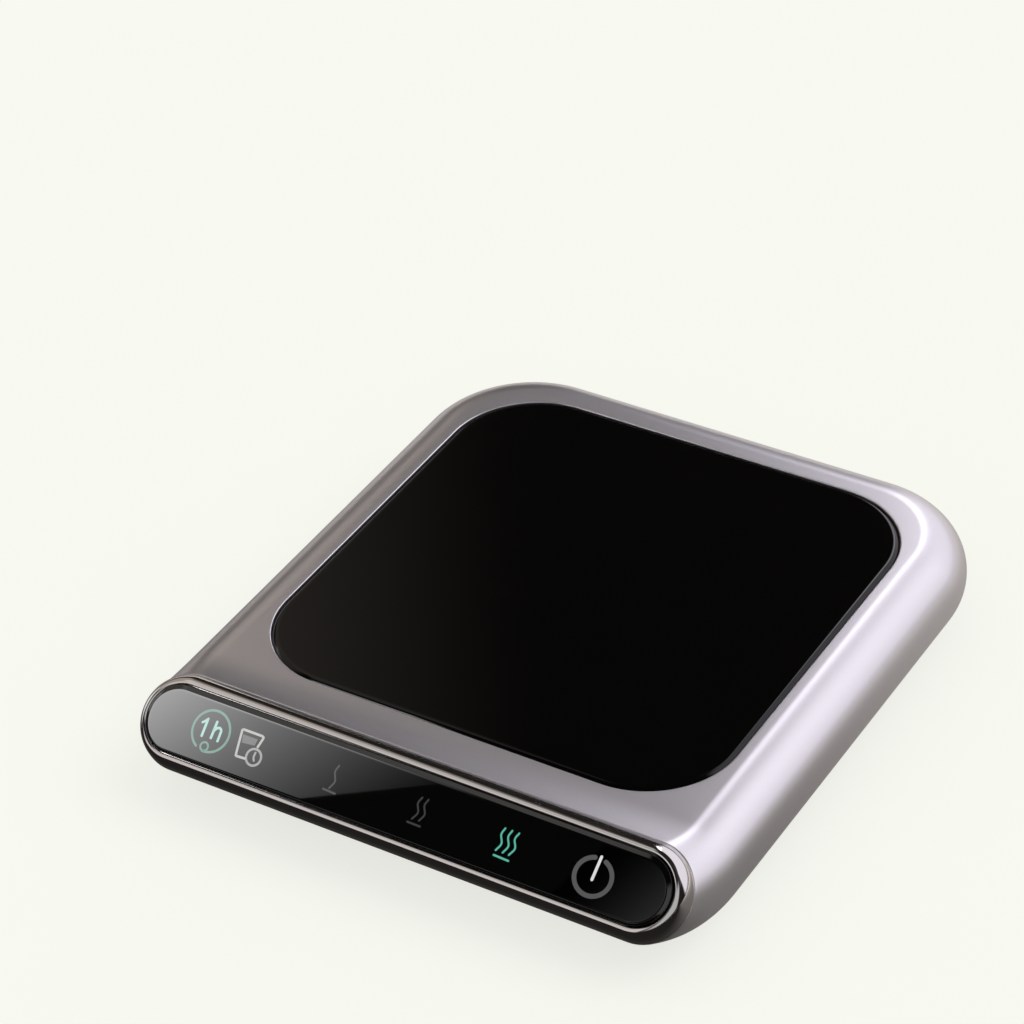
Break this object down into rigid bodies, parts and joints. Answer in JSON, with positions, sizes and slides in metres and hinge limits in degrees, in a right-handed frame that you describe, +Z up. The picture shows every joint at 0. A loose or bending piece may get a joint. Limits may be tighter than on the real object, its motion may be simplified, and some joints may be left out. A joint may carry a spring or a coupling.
{
  "type": "electric mug warmer",
  "caption": "Pebble-shaped silver desk mug warmer with a square black glass hot plate and a sloping touch strip in a chrome ring; the plate sinks slightly under a mug.",
  "frame": {"origin": "on the table, under the middle of the outline", "axes": "+Z up; -Y is the front, with the touch strip; +X to the right as the user faces it"},
  "size_m": [0.125, 0.14, 0.0232],
  "materials": {
    "silver_lacquer": "satin metallic silver lacquer over moulded ABS",
    "black_plastic": "moulded black plastic, fine spark texture",
    "screw_steel": "zinc-plated steel",
    "foot_rubber": "soft black silicone rubber",
    "chrome": "bright chrome plating on plastic",
    "gasket_foam": "black adhesive foam",
    "smoked_lens": "polished smoked acrylic with lit symbols",
    "legend_print": "black-printed polycarbonate film",
    "white_diffuser": "white light-diffusing plastic",
    "circuit_board": "green solder mask on glass-epoxy",
    "spring_steel": "bright spring steel",
    "led_body": "clear LED resin on white",
    "chip_black": "moulded epoxy chip body",
    "socket_white": "natural nylon connector",
    "ribbon_grey": "grey PVC ribbon cable",
    "tinned_metal": "tin-plated metal",
    "inductor_ferrite": "pressed ferrite powder",
    "capacitor_can": "aluminium can with printed stripe",
    "contact_brass": "nickel-flashed brass contact",
    "black_glass": "polished black glass-ceramic, bevelled edge",
    "spreader_aluminium": "rolled aluminium sheet",
    "heater_foil": "amber polyimide film over etched foil",
    "insulation_felt": "white ceramic-fibre felt",
    "glass_bead": "glass-bead thermistor in its sleeve",
    "cutoff_metal": "tinned metal fuse case",
    "lead_silicone": "red silicone-insulated wire"
  },
  "bodies": {
    "housing": {"housing_shell": "silver_lacquer", "base_cover": "black_plastic", "cover_screws": "screw_steel", "rubber_feet": "foot_rubber", "bezel_ring": "chrome", "lens_gasket": "gasket_foam", "control_lens": "smoked_lens", "legend_film": "legend_print", "light_guide": "white_diffuser", "board_holder": "black_plastic", "strip_board": "circuit_board", "touch_electrodes": "spring_steel", "indicator_leds": "led_body", "touch_chip": "chip_black", "strip_socket": "socket_white", "ribbon_cable": "ribbon_grey", "power_board": "circuit_board", "board_screws": "screw_steel", "power_socket": "socket_white", "heater_terminal": "socket_white", "power_transistor": "chip_black", "buck_inductor": "inductor_ferrite", "filter_capacitors": "capacitor_can", "dc_jack": "black_plastic", "jack_pin": "contact_brass", "detector_switch": "chip_black", "heater_leads": "lead_silicone", "plate_springs": "spring_steel"},
    "hot_plate": {"glass_plate": "black_glass", "heat_spreader": "spreader_aluminium", "heater_film": "heater_foil", "insulation_pad": "insulation_felt", "thermistor": "glass_bead", "thermal_cutoff": "cutoff_metal", "plate_carrier": "black_plastic"},
    "plunger": {"switch_plunger": "socket_white"}
  },
  "joints": [
    {"name": "plate_press", "type": "slide", "parent": "housing", "child": "hot_plate", "axis": [0, 0, -1], "range_m": [0, 0.0006], "stiffness_N_per_m": 2000, "springref_m": -0.0015, "deforming": ["plate_springs", "heater_leads"]},
    {"name": "plunger_press", "type": "slide", "parent": "housing", "child": "plunger", "axis": [0, 0, -1], "range_m": [0, 0.0008]}
  ],
  "couplings": [
    {"joint": "plunger_press", "follows": "plate_press", "ratio": 1}
  ]
}
